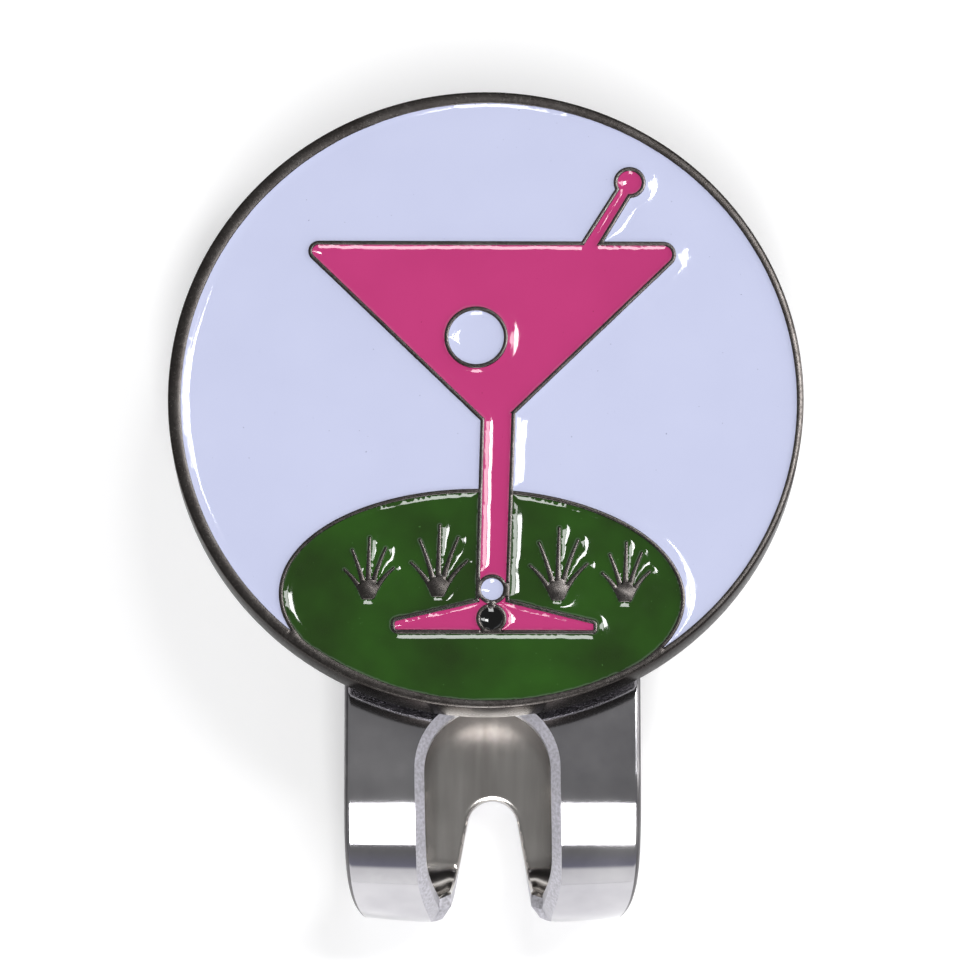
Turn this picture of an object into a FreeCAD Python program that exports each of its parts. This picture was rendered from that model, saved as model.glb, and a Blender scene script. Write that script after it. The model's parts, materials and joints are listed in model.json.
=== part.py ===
"""Golf hat clip with a magnetic ball marker, as a parametric document.

A strip of plated steel is bent into a spring clip. Its flat rear leg lies on z = 0 and its front plate
leans towards that leg. A disc magnet is glued into a seat in the front plate and holds the marker: a
struck steel disc whose recessed cells are filled with soft enamel.

The row frame has +X across the clip, +Y from the bend towards the tips and +Z up. Its origin is on the
back of the rear leg, under the middle of the front plate's magnet. The plate, the magnet and the marker
are drawn in the plate's own frame, whose origin is on the plate's outer face at the magnet's axis.
"""
import FreeCAD, Part
import Sketcher
import math
import os

# Driving sizes, in millimetres and degrees.
SIZES = {
    # the strip
    "strip_width": 11.7,
    "strip_thick": 1.0,
    "lean": 8.0,               # angle between the front plate and the rear leg
    "front_bend": 5.0,         # outer radius of the bend's front half
    "rear_bend": 2.6,          # outer radius of the bend's rear half
    "plate_reach": 14.65,      # magnet's axis to the start of the bend, along the plate
    "plate_tip": 6.0,          # magnet's axis to the plate's tip
    "leg_tip": 9.0,            # origin to the rear leg's tip
    "tip_round": 5.5,          # corner radius of both tips
    "edge_ease": 0.15,         # rounding of the strip's long edges
    # the slot that runs round the bend
    "bend_slot": 3.5,          # width at the bend's outermost line
    "slot_overrun": 1.0,       # how far the rear leg's cut runs past the bend
    "front_arch": 5.0,         # width of the oval in the front plate
    "front_arch_top": 11.85,   # magnet's axis to the arch's top
    "rear_arch": 2.0,
    "rear_arch_top": 15.2,
    "slot_left": 0.2,          # the slot is this far to the left of the strip's middle
    # the magnet and its seat
    "seat_diameter": 10.2,
    "seat_depth": 0.3,
    "glue_thick": 0.1,
    "magnet_diameter": 10.0,
    "magnet_thick": 1.0,
    "magnet_ease": 0.15,
    # the marker's blank
    "marker_diameter": 25.14,
    "marker_thick": 1.8,
    "marker_ease": 0.08,
    "face_radius": 12.18,      # the struck face inside the raised rim
    "face_shift": 0.05,        # the face's centre is this far to the right of the picture's
    "blank_left": 0.07,        # the blank's centre is this far to the left of the picture's
    "blank_up": 0.07,          # and this far above it
    "marker_left": 0.2,        # the picture's centre is this far to the left of the magnet's axis
    "cell_depth": 0.45,        # raised lines stand this far above the cells' floor
    "fill_thick": 0.33,        # enamel in a cell
    "line_width": 0.16,        # raised metal line between two cells
    # the cocktail glass: sharp corners of its outline, at the middle of the raised line, and their rounding
    "bowl_left_x": -7.55, "bowl_left_y": 6.40, "bowl_left_round": 0.35,
    "bowl_right_x": 8.06, "bowl_right_y": 6.35, "bowl_right_round": 0.45,
    "bowl_foot_x": 0.27, "bowl_foot_y": -1.31, "bowl_foot_round": 0.20,
    "stem_top_y": -0.50, "stem_top_left_x": -0.19, "stem_top_right_x": 1.03,
    "stem_end_y": -8.50, "stem_end_left_x": -0.40, "stem_end_right_x": 0.77,
    "foot_top_x": 0.20, "foot_top_y": -8.03,
    "foot_left_x": -3.72, "foot_left_top_y": -8.95, "foot_left_end_y": -9.42, "foot_left_round": 0.20,
    "foot_right_x": 4.23, "foot_right_top_y": -9.06, "foot_right_end_y": -9.45, "foot_right_round": 0.12,
    "small_round": 0.10,
    # the stirrer that stands in the glass
    "stirrer_low_y": 6.10, "stirrer_low_left_x": 3.62, "stirrer_low_right_x": 4.33,
    "stirrer_high_y": 8.90, "stirrer_high_left_x": 5.36, "stirrer_high_right_x": 5.99,
    "knob_x": 5.66, "knob_y": 8.88, "knob_radius": 0.56,
    # the olive in the bowl and the two balls at the foot of the stem
    "olive_x": -0.45, "olive_y": 2.51, "olive_radius": 1.18,
    "white_ball_x": 0.18, "white_ball_y": -7.72, "white_ball_radius": 0.52,
    "black_ball_x": 0.15, "black_ball_y": -8.90, "black_ball_radius": 0.52,
    # the green
    "green_x": -0.22, "green_y": -8.0, "green_long": 7.9, "green_short": 4.25, "green_turn": -1.2,
    # blades of grass
    "blade_width": 0.27,
    "blade_tip": 0.05,         # radius of a blade's tip
    "blade_curl": 0.5,         # how much further a blade leans at its tip, as a share of its own lean
    "blade_spread": 0.006,     # how far a blade's foot is from the tuft's, for each degree of lean
}

# Each tuft of grass: foot of the tuft, x and y, and the height of its tallest blade.
TUFTS = [(-4.70, -8.00, 2.35), (-1.95, -7.90, 2.75), (2.75, -8.05, 2.80), (5.40, -8.10, 2.25)]
# Each blade of a tuft: its lean from upright in degrees, and its height as a share of the tallest.
BLADES = [(-24.0, 0.56), (-11.0, 0.82), (1.0, 1.0), (12.0, 0.86), (25.0, 0.60)]

LEAN = "Sizes.lean * 1deg"
# The bend's two halves meet in one upright tangent line, which fixes the rear bend's start and the height
# of the plate.
LEG_REACH = (
    f"Sizes.plate_reach * cos({LEAN}) + Sizes.front_bend * (1 + sin({LEAN})) - Sizes.rear_bend"
)
PLATE_HEIGHT = f"Sizes.rear_bend - Sizes.plate_reach * sin({LEAN}) + Sizes.front_bend * cos({LEAN})"
# The marker's back rests on the magnet, this far above the plate.
MARKER_BACK = "Sizes.glue_thick + Sizes.magnet_thick - Sizes.seat_depth"
# The cells' floor is measured from the marker's back, and what cuts a cell runs well past the face.
CELL_FLOOR = "Sizes.marker_thick - Sizes.cell_depth"
CUT_HEIGHT = "2 * Sizes.cell_depth"

UP = FreeCAD.Vector(0, 0, 1)
TINY = 1e-6
doc = FreeCAD.newDocument("hat_clip_marker")
nodes = []


# ---- helpers ----

def make_sheet():
    """The spreadsheet that holds the driving sizes: names in column A, numbers in column B."""
    sheet = doc.addObject("Spreadsheet::Sheet", "Sizes")
    for row, (name, value) in enumerate(SIZES.items(), start=1):
        sheet.set(f"A{row}", name)
        sheet.set(f"B{row}", str(value))
        sheet.setAlias(f"B{row}", name)
    doc.recompute()
    return sheet


def value_of(expression):
    """The number that an expression on the sheet gives."""
    result = sheet.evalExpression(expression)
    return float(getattr(result, "Value", result))


def bind(item, **expressions):
    """Ties properties of an object to expressions on the sheet. Two underscores stand for a dot."""
    for prop, expression in expressions.items():
        item.setExpression(prop.replace("__", "."), expression)
    return item


def on_plate(item, height="0", across="0"):
    """Puts an object drawn in the plate's frame into the row frame, raised along the plate's normal."""
    item.Placement.Rotation = FreeCAD.Rotation(FreeCAD.Vector(1, 0, 0), -value_of("Sizes.lean"))
    return bind(item, Placement__Rotation__Angle="-Sizes.lean", Placement__Base__x=across,
                Placement__Base__y=f"({height}) * sin({LEAN})",
                Placement__Base__z=f"{PLATE_HEIGHT} + ({height}) * cos({LEAN})")


def add_node(item, label):
    """Counts a finished sub-part among those that are written out."""
    item.Label = label
    nodes.append(item)
    return item


def sketch_on(body, role, name):
    """An empty sketch on one of a body's own origin planes."""
    plane = next(item for item in body.Origin.OriginFeatures if item.Role == role)
    sketch = body.newObject("Sketcher::SketchObject", name)
    sketch.AttachmentSupport = [(plane, "")]
    sketch.MapMode = "FlatFace"
    return sketch


def constrain(sketch, kind, *where, to=None):
    """Adds a constraint to a sketch and, where it has a size, ties it to an expression."""
    if to is None:
        sketch.addConstraint(Sketcher.Constraint(kind, *where))
        return
    start = value_of(to)
    if kind == "Angle":
        start = math.radians(start)
    index = sketch.addConstraint(Sketcher.Constraint(kind, *where, start))
    sketch.setExpression(f"Constraints[{index}]", to)


def point(x, y):
    return FreeCAD.Vector(x, y, 0)


def line(sketch, start, end):
    return sketch.addGeometry(Part.LineSegment(start, end), False)


def arc(sketch, centre, radius, start, end):
    """An arc that runs anticlockwise between two angles in radians."""
    circle = Part.Circle(centre, UP, radius)
    return sketch.addGeometry(Part.ArcOfCircle(circle, start, end), False)


# ---- the strip ----

def strap_profile(body, reach, tip, bend, turn):
    """Side view of half the strip: a straight leg, its outer face on the sketch's x axis, then the bend."""
    sketch = sketch_on(body, "YZ_Plane", "profile")
    start, end, outer = -value_of(reach), value_of(tip), value_of(bend)
    thick = value_of("Sizes.strip_thick")
    centre = point(start, -outer)
    quarter, last = math.pi / 2, math.pi / 2 + math.radians(value_of(turn))
    radial = point(math.cos(last), math.sin(last))
    top = line(sketch, point(end, 0), point(start, 0))
    outside = arc(sketch, centre, outer, quarter, last)
    split = line(sketch, centre + radial * outer, centre + radial * (outer - thick))
    inside = arc(sketch, centre, outer - thick, quarter, last)
    bottom = line(sketch, point(start, -thick), point(end, -thick))
    cap = line(sketch, point(end, -thick), point(end, 0))
    constrain(sketch, "Tangent", top, 2, outside, 1)
    constrain(sketch, "Coincident", outside, 2, split, 1)
    constrain(sketch, "Coincident", split, 2, inside, 2)
    constrain(sketch, "Tangent", bottom, 1, inside, 1)
    constrain(sketch, "Coincident", bottom, 2, cap, 1)
    constrain(sketch, "Coincident", cap, 2, top, 1)
    constrain(sketch, "Coincident", outside, 3, inside, 3)
    constrain(sketch, "PointOnObject", outside, 3, split)
    constrain(sketch, "Horizontal", top)
    constrain(sketch, "Horizontal", bottom)
    constrain(sketch, "Vertical", cap)
    constrain(sketch, "PointOnObject", top, 1, -1)
    constrain(sketch, "Radius", outside, to=bend)
    constrain(sketch, "Radius", inside, to=f"{bend} - Sizes.strip_thick")
    constrain(sketch, "Angle", outside, to=f"({turn}) * 1deg")
    constrain(sketch, "DistanceX", top, 2, -1, 1, to=reach)
    constrain(sketch, "DistanceX", -1, 1, top, 1, to=tip)
    return sketch


def slot_sketch(body, across):
    """An empty plan of the slot, moved across the strip."""
    sketch = sketch_on(body, "XY_Plane", "slot")
    sketch.setExpression("AttachmentOffset.Base.x", across)
    return sketch


def slot_gauge(sketch, reach, bend):
    """A construction line on the bend's outermost line, as long as the slot is wide there."""
    half = value_of("Sizes.bend_slot") / 2
    outermost = -(value_of(reach) + value_of(bend))
    gauge = sketch.addGeometry(Part.LineSegment(point(-half, outermost), point(half, outermost)), True)
    constrain(sketch, "Symmetric", gauge, 1, gauge, 2, -2)
    constrain(sketch, "DistanceX", gauge, 1, gauge, 2, to="Sizes.bend_slot")
    constrain(sketch, "DistanceY", gauge, 2, -1, 1, to=f"{reach} + {bend}")
    return gauge


def slot_arch(sketch, arch, arch_top):
    """The half circle at the top of a slot."""
    radius = value_of(arch) / 2
    rim = arc(sketch, point(0, -value_of(arch_top) - radius), radius, 0, math.pi)
    constrain(sketch, "PointOnObject", rim, 3, -2)
    constrain(sketch, "Radius", rim, to=f"{arch} / 2")
    constrain(sketch, "DistanceY", rim, 3, -1, 1, to=f"{arch_top} + {arch} / 2")
    return rim


def rear_slot(body):
    """The rear leg's slot: an arch whose sides run on, tangent to it and widening, to past the bend."""
    sketch = slot_sketch(body, "Sizes.slot_left")
    gauge = slot_gauge(sketch, LEG_REACH, "Sizes.rear_bend")
    rim = slot_arch(sketch, "Sizes.rear_arch", "Sizes.rear_arch_top")
    radius, narrow = value_of("Sizes.rear_arch / 2"), value_of("Sizes.bend_slot / 2")
    top = -value_of("Sizes.rear_arch_top") - radius
    end = -value_of(f"{LEG_REACH} + Sizes.rear_bend + Sizes.slot_overrun")
    right = line(sketch, point(radius, top), point(narrow, end))
    left = line(sketch, point(-radius, top), point(-narrow, end))
    close = line(sketch, point(narrow, end), point(-narrow, end))
    constrain(sketch, "Tangent", rim, 1, right, 1)
    constrain(sketch, "Tangent", rim, 2, left, 1)
    constrain(sketch, "Coincident", right, 2, close, 1)
    constrain(sketch, "Coincident", left, 2, close, 2)
    constrain(sketch, "Horizontal", close)
    constrain(sketch, "PointOnObject", gauge, 1, left)
    constrain(sketch, "PointOnObject", gauge, 2, right)
    constrain(sketch, "DistanceY", right, 2, gauge, 2, to="Sizes.slot_overrun")
    return sketch


def front_slot(body):
    """The front plate's slot: an oval, as wide at the bend's outermost line as the gauge."""
    sketch = slot_sketch(body, "-Sizes.slot_left")
    gauge = slot_gauge(sketch, "Sizes.plate_reach", "Sizes.front_bend")
    rim = slot_arch(sketch, "Sizes.front_arch", "Sizes.front_arch_top")
    radius, narrow = value_of("Sizes.front_arch / 2"), value_of("Sizes.bend_slot / 2")
    top = -value_of("Sizes.front_arch_top") - radius
    low = -value_of("Sizes.plate_reach + Sizes.front_bend") + math.sqrt(radius**2 - narrow**2)
    right = line(sketch, point(radius, top), point(radius, low))
    left = line(sketch, point(-radius, top), point(-radius, low))
    foot = arc(sketch, point(0, low), radius, math.pi, 2 * math.pi)
    constrain(sketch, "Tangent", rim, 1, right, 1)
    constrain(sketch, "Tangent", rim, 2, left, 1)
    constrain(sketch, "Tangent", left, 2, foot, 1)
    constrain(sketch, "Tangent", right, 2, foot, 2)
    constrain(sketch, "Vertical", right)
    constrain(sketch, "Vertical", left)
    constrain(sketch, "PointOnObject", gauge, 2, foot)
    return sketch


def edges_where(shape, wanted):
    """Names of the edges for which wanted(edge) is true."""
    return [f"Edge{i}" for i, edge in enumerate(shape.Edges, start=1) if wanted(edge)]


def strap(name, reach, tip, bend, turn, slot_plan):
    """Half the clip's strip, in a frame whose z = 0 is the leg's outer face: padded, slotted and eased."""
    body = doc.addObject("PartDesign::Body", name)
    pad = body.newObject("PartDesign::Pad", "strip")
    pad.Profile = strap_profile(body, reach, tip, bend, turn)
    pad.SideType = "Symmetric"
    bind(pad, Length="Sizes.strip_width")
    slot = body.newObject("PartDesign::Pocket", "slot_cut")
    slot.Profile = slot_plan(body)
    slot.SideType = "Symmetric"
    slot.Type = "ThroughAll"
    doc.recompute()
    end = value_of(tip)
    thick = value_of("Sizes.strip_thick")

    def is_tip_corner(edge):
        at_tip = all(abs(vertex.Point.y - end) < TINY for vertex in edge.Vertexes)
        return at_tip and abs(edge.Length - thick) < TINY

    corners = body.newObject("PartDesign::Fillet", "round_tip")
    corners.Base = (slot, edges_where(slot.Shape, is_tip_corner))
    bind(corners, Radius="Sizes.tip_round")
    doc.recompute()
    return body, corners


def ease_long_edges(body, last, reach, bend, turn):
    """Rounds the strip's long edges, apart from those of the split in the bend."""
    end = math.pi / 2 + math.radians(value_of(turn))
    centre = FreeCAD.Vector(0, -value_of(reach), -value_of(bend))
    along = FreeCAD.Vector(0, -math.sin(end), math.cos(end))

    def in_split(vertex):
        return abs((vertex.Point - centre).dot(along)) < TINY

    def is_long_edge(edge):
        first, final = edge.Vertexes[0].Point, edge.Vertexes[-1].Point
        straight = isinstance(edge.Curve, Part.Line)
        is_short = edge.Length < value_of("Sizes.strip_thick") + TINY
        through = straight and is_short and abs(first.x - final.x) < TINY
        bend_line = straight and abs(first.y - final.y) < TINY and first.y < 0
        return not through and not bend_line and not all(in_split(vertex) for vertex in edge.Vertexes)

    ease = body.newObject("PartDesign::Fillet", "eased_edges")
    ease.Base = (last, edges_where(last.Shape, is_long_edge))
    bind(ease, Radius="Sizes.edge_ease")
    doc.recompute()
    return ease


def rear_leg():
    """The leg that goes behind the brim of a cap, with the rear half of the bend."""
    turn = "90"
    body, last = strap("rear_leg", LEG_REACH, "Sizes.leg_tip", "Sizes.rear_bend", turn, rear_slot)
    ease_long_edges(body, last, LEG_REACH, "Sizes.rear_bend", turn)
    # The leg is drawn with its outer face up, so it is turned over onto z = 0.
    over = FreeCAD.Rotation(FreeCAD.Vector(0, 1, 0), 180)
    body.Placement = FreeCAD.Placement(FreeCAD.Vector(0, 0, 0), over)
    return add_node(body, "clip_rear_leg")


def front_plate():
    """The plate that carries the magnet, with the front half of the bend."""
    turn = "90 + Sizes.lean"
    body, last = strap("front_plate", "Sizes.plate_reach", "Sizes.plate_tip", "Sizes.front_bend", turn,
                       front_slot)
    eased = ease_long_edges(body, last, "Sizes.plate_reach", "Sizes.front_bend", turn)
    outline = sketch_on(body, "XY_Plane", "seat_outline")
    circle = Part.Circle(point(0, 0), UP, value_of("Sizes.seat_diameter / 2"))
    rim = outline.addGeometry(circle, False)
    constrain(outline, "Coincident", rim, 3, -1, 1)
    constrain(outline, "Radius", rim, to="Sizes.seat_diameter / 2")
    seat = body.newObject("PartDesign::Pocket", "magnet_seat")
    seat.Profile = outline
    bind(seat, Length="Sizes.seat_depth")
    doc.recompute()
    if seat.Shape.Volume > eased.Shape.Volume - 1:
        raise RuntimeError("the magnet's seat cuts nothing")
    return add_node(on_plate(body), "clip_front_plate")


# ---- the magnet ----

def cylinder(name, radius, height, x="0", y="0", z="0"):
    """A cylinder standing on z, all of it tied to the sheet."""
    item = doc.addObject("Part::Cylinder", name)
    return bind(item, Radius=radius, Height=height,
                Placement__Base__x=x, Placement__Base__y=y, Placement__Base__z=z)


def ease_rims(name, base, radius):
    """Rounds the two circular edges of a disc."""
    doc.recompute()
    size = value_of(radius)
    eased = doc.addObject("Part::Fillet", name)
    eased.Base = base
    rims = [i for i, edge in enumerate(base.Shape.Edges, start=1) if edge.Closed]
    eased.Edges = [(i, size, size) for i in rims]
    return eased


def magnet():
    """The disc magnet, standing proud of the plate so that a thumb can tip the marker off it."""
    disc = cylinder("magnet_disc", "Sizes.magnet_diameter / 2", "Sizes.magnet_thick")
    eased = ease_rims("magnet_eased", disc, "Sizes.magnet_ease")
    return add_node(on_plate(eased, "Sizes.glue_thick - Sizes.seat_depth"), "magnet")


def magnet_adhesive():
    """The film of adhesive between the magnet and the floor of its seat."""
    film = cylinder("glue_film", "Sizes.magnet_diameter / 2", "Sizes.glue_thick")
    return add_node(on_plate(film, "-Sizes.seat_depth"), "magnet_adhesive")


# ---- the marker's artwork, drawn from the marker's back face at z = 0 ----
#
# Every figure is an outline along the middle of its raised line. Moved half a line inwards it bounds the
# enamel inside it, and half a line outwards the enamel around it. Each becomes an upright prism that starts
# at the cells' floor and runs past the marker's face.

def rounded_outline(name, corners):
    """A closed outline of straight sides. Each corner is expressions for its x, its y and its rounding."""
    sketch = doc.addObject("Sketcher::SketchObject", name)
    places = [point(value_of(x), value_of(y)) for x, y, _ in corners]
    sizes = [value_of(rounding) for _, _, rounding in corners]
    count = len(corners)
    ends = []
    for i in range(count):
        back = (places[i - 1] - places[i]).normalize()
        ahead = (places[(i + 1) % count] - places[i]).normalize()
        half = back.getAngle(ahead) / 2
        reach = sizes[i] / math.tan(half)
        centre = places[i] + (back + ahead).normalize() * (sizes[i] / math.sin(half))
        ends.append((places[i] + back * reach, places[i] + ahead * reach, centre))
    rounds, sides = [], []
    for (start, finish, centre), size in zip(ends, sizes):
        spoke, last = start - centre, finish - centre
        rounds.append(arc(sketch, centre, size, math.atan2(spoke.y, spoke.x), math.atan2(last.y, last.x)))
    for i in range(count):
        sides.append(line(sketch, ends[i][1], ends[(i + 1) % count][0]))
    for i, (x, y, rounding) in enumerate(corners):
        constrain(sketch, "Tangent", rounds[i], 2, sides[i], 1)
        constrain(sketch, "Tangent", sides[i - 1], 2, rounds[i], 1)
        constrain(sketch, "Radius", rounds[i], to=rounding)
        sharp = sketch.addGeometry(Part.Point(places[i]), True)
        constrain(sketch, "PointOnObject", sharp, 1, sides[i])
        constrain(sketch, "PointOnObject", sharp, 1, sides[i - 1])
        place_from_origin(sketch, "DistanceX", sharp, x)
        place_from_origin(sketch, "DistanceY", sharp, y)
    return sketch


def place_from_origin(sketch, kind, spot, coordinate):
    """Holds a point at a coordinate. A distance is never negative, so its ends are in the axis's order."""
    if value_of(coordinate) >= 0:
        constrain(sketch, kind, -1, 1, spot, 1, to=coordinate)
    else:
        constrain(sketch, kind, spot, 1, -1, 1, to=f"-({coordinate})")


def upright(name, base):
    """A prism from the cells' floor to past the marker's face, over a closed outline."""
    prism = doc.addObject("Part::Extrusion", name)
    prism.Base = base
    prism.DirMode = "Custom"
    prism.Dir = UP
    prism.Solid = True
    return bind(prism, LengthFwd=CUT_HEIGHT)


def figure(name, corners):
    """The inner and outer prism of a straight-sided figure."""
    outline = rounded_outline(f"{name}_outline", corners)
    bind(outline, Placement__Base__z=CELL_FLOOR)
    pair = []
    for side, sign in (("inner", "-"), ("outer", "")):
        moved = doc.addObject("Part::Offset2D", f"{name}_{side}_line")
        moved.Source = outline
        bind(moved, Value=f"{sign}Sizes.line_width / 2")
        pair.append(upright(f"{name}_{side}", moved))
    return pair


def ring(name, stem):
    """The inner and outer prism of a round figure, from its x, y and radius on the sheet."""
    return [
        cylinder(f"{name}_{side}", f"Sizes.{stem}_radius {sign} Sizes.line_width / 2", CUT_HEIGHT,
                 f"Sizes.{stem}_x", f"Sizes.{stem}_y", CELL_FLOOR)
        for side, sign in (("inner", "-"), ("outer", "+"))
    ]


def green_pair():
    """The inner and outer prism of the green, an ellipse."""
    pair = []
    for side, sign in (("inner", "-"), ("outer", "+")):
        ellipse = doc.addObject("Part::Ellipse", f"green_{side}_line")
        bind(ellipse, MajorRadius=f"Sizes.green_long {sign} Sizes.line_width / 2",
             MinorRadius=f"Sizes.green_short {sign} Sizes.line_width / 2",
             Placement__Base__x="Sizes.green_x", Placement__Base__y="Sizes.green_y",
             Placement__Base__z=CELL_FLOOR, Placement__Rotation__Angle="Sizes.green_turn")
        pair.append(upright(f"green_{side}", ellipse))
    return pair


def corner(stem_x, stem_y, rounding="small_round"):
    """A corner's x, y and rounding, as expressions."""
    return tuple(f"Sizes.{name}" for name in (stem_x, stem_y, rounding))


def glass_figures():
    """Inner and outer prisms of the pieces of the cocktail glass: bowl, stem, foot and stirrer."""
    bowl = [corner(f"bowl_{at}_x", f"bowl_{at}_y", f"bowl_{at}_round") for at in ("foot", "right", "left")]
    stem = [
        corner("stem_end_left_x", "stem_end_y"),
        corner("stem_end_right_x", "stem_end_y"),
        corner("stem_top_right_x", "stem_top_y"),
        corner("stem_top_left_x", "stem_top_y"),
    ]
    foot = [
        corner("foot_left_x", "foot_left_end_y", "foot_left_round"),
        corner("foot_right_x", "foot_right_end_y", "foot_right_round"),
        corner("foot_right_x", "foot_right_top_y", "foot_right_round"),
        corner("foot_top_x", "foot_top_y"),
        corner("foot_left_x", "foot_left_top_y", "foot_left_round"),
    ]
    stirrer = [
        corner("stirrer_low_left_x", "stirrer_low_y"),
        corner("stirrer_low_right_x", "stirrer_low_y"),
        corner("stirrer_high_right_x", "stirrer_high_y"),
        corner("stirrer_high_left_x", "stirrer_high_y"),
    ]
    drawn = {"bowl": bowl, "stem": stem, "foot": foot, "stirrer": stirrer}
    return [figure(name, corners) for name, corners in drawn.items()]


def blade_face(x, y, lean, length):
    """A blade of grass seen from above: two arcs from a round foot to a narrow tip."""
    foot, tip = value_of("Sizes.blade_width") / 2, value_of("Sizes.blade_tip")
    curl = value_of("Sizes.blade_curl")
    x += lean * value_of("Sizes.blade_spread")

    def spine(share):
        angle = math.radians(lean * (1 + curl * share))
        return point(x + length * share * math.sin(angle), y + length * share * math.cos(angle)), angle

    def beside(share, side):
        middle, angle = spine(share)
        half = foot + (tip - foot) * share
        return middle + point(math.cos(angle), -math.sin(angle)) * side * half

    def beyond(share, reach):
        middle, angle = spine(share)
        return middle + point(math.sin(angle), math.cos(angle)) * reach

    right = Part.Arc(beside(0, 1), beside(0.5, 1), beside(1, 1))
    top = Part.Arc(beside(1, 1), beyond(1, tip), beside(1, -1))
    left = Part.Arc(beside(1, -1), beside(0.5, -1), beside(0, -1))
    end = Part.Arc(beside(0, -1), beyond(0, -foot), beside(0, 1))
    return Part.Face(Part.Wire([curve.toShape() for curve in (right, top, left, end)]))


def grass():
    """The tufts of grass as one set of prisms. The blades' free curves are drawn directly."""
    tufts = []
    for x, y, height in TUFTS:
        blades = [blade_face(x, y, lean, height * share) for lean, share in BLADES]
        tuft = blades[0].fuse(blades[1:]).removeSplitter()
        tufts.append(tuft.extrude(UP * value_of(CUT_HEIGHT)))
    item = doc.addObject("Part::Feature", "grass")
    item.Shape = Part.makeCompound(tufts)
    item.Placement.Base.z = value_of(CELL_FLOOR)
    return bind(item, Placement__Base__z=CELL_FLOOR)


def joined(kind, name, items):
    """A Part::MultiFuse or Part::MultiCommon of several objects."""
    result = doc.addObject(kind, name)
    result.Shapes = items
    return result


def cut(name, base, tool):
    """A Part::Cut of one object from another."""
    result = doc.addObject("Part::Cut", name)
    result.Base = base
    result.Tool = tool
    return result


def part_of(name, item, x, y):
    """What a cell has in a big box whose low corner is at x and y."""
    box = doc.addObject("Part::Box", f"{name}_box")
    bind(box, Length="2 * Sizes.marker_diameter", Width="2 * Sizes.marker_diameter", Height=CUT_HEIGHT,
         Placement__Base__x=x, Placement__Base__y=y, Placement__Base__z=CELL_FLOOR)
    return joined("Part::MultiCommon", name, [item, box])


def cells():
    """Every enamelled cell of the marker's face, as prisms by node name."""
    face = cylinder("face", "Sizes.face_radius", CUT_HEIGHT, "Sizes.face_shift", "0", CELL_FLOOR)
    glass = glass_figures()
    knob = ring("knob", "knob")
    olive = ring("olive", "olive")
    white = ring("white_ball", "white_ball")
    black = ring("black_ball", "black_ball")
    green_inside, green_outside = green_pair()
    outside = [pair[1] for pair in glass + [knob, white, black]]
    glass_outside = joined("Part::MultiFuse", "glass_outside", outside)
    glass_inside = joined("Part::MultiFuse", "glass_inside", [pair[0] for pair in glass + [knob]])
    drops = joined("Part::MultiFuse", "drops", [olive[1], white[1], black[1]])
    pink = cut("glass_cells", glass_inside, drops)
    around = joined("Part::MultiFuse", "around", [glass_outside, green_outside])
    turf = joined("Part::MultiCommon", "turf", [green_inside, face])
    raised = joined("Part::MultiFuse", "raised", [glass_outside, grass()])
    far = "-2 * Sizes.marker_diameter"
    middle_x, middle_y = "Sizes.white_ball_x", "Sizes.white_ball_y"
    return {
        "enamel_background": cut("background_cell", face, around),
        "enamel_green": cut("green_cell", turf, raised),
        "enamel_glass": part_of("glass_cell", pink, "-Sizes.marker_diameter", middle_y),
        "enamel_foot_left": part_of("foot_left_cell", pink, f"{middle_x} {far}", f"{middle_y} {far}"),
        "enamel_foot_right": part_of("foot_right_cell", pink, middle_x, f"{middle_y} {far}"),
        "enamel_olive": olive[0],
        "enamel_ball_white": white[0],
        "enamel_ball_black": black[0],
    }


# ---- the marker ----

def marker():
    """The struck blank and the enamel in each of its cells."""
    made = cells()
    disc = cylinder("blank_disc", "Sizes.marker_diameter / 2", "Sizes.marker_thick",
                    "-Sizes.blank_left", "Sizes.blank_up")
    eased = ease_rims("blank_eased", disc, "Sizes.marker_ease")
    struck = cut("struck_blank", eased, joined("Part::MultiFuse", "all_cells", list(made.values())))
    add_node(on_plate(struck, MARKER_BACK, "-Sizes.marker_left"), "marker_blank")
    slab = cylinder("fill_level", "Sizes.marker_diameter / 2", "Sizes.fill_thick", z=CELL_FLOOR)
    for name, cell in made.items():
        fill = joined("Part::MultiCommon", f"{name}_fill", [cell, slab])
        add_node(on_plate(fill, MARKER_BACK, "-Sizes.marker_left"), name)


def check_document():
    """Stops if any object failed, or if a sub-part isn't one or more sound solids."""
    for item in doc.Objects:
        if {"Invalid", "Error"} & set(item.State):
            raise RuntimeError(f"{item.Name} failed: {item.State}")
    for item in nodes:
        if item.Shape.isNull() or not item.Shape.isValid() or not item.Shape.Solids:
            raise RuntimeError(f"{item.Label} has no sound solid")


sheet = make_sheet()
rear_leg()
front_plate()
magnet_adhesive()
magnet()
marker()
doc.recompute()
check_document()
os.makedirs("parts", exist_ok=True)
for item in nodes:
    item.Shape.exportStep(os.path.join("parts", f"{item.Label}.step"))
    print(f"{item.Label}: {len(item.Shape.Solids)} solid, {item.Shape.Volume:.3f} mm3")
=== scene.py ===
"""The looks of a golf ball marker on its magnetic hat clip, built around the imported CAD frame.

Lengths are in millimetres until a mesh is made, and MM turns them into the scene's metres.
Two sets of coordinates follow the object:
- marker (u, v, w): across, up and out of the marker's face, from the face's centre
- strip (x, s, h): across the clip's bent strip, along it from the hinge line towards the front plate,
  and out from the middle of its thickness
"""
import math

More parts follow.
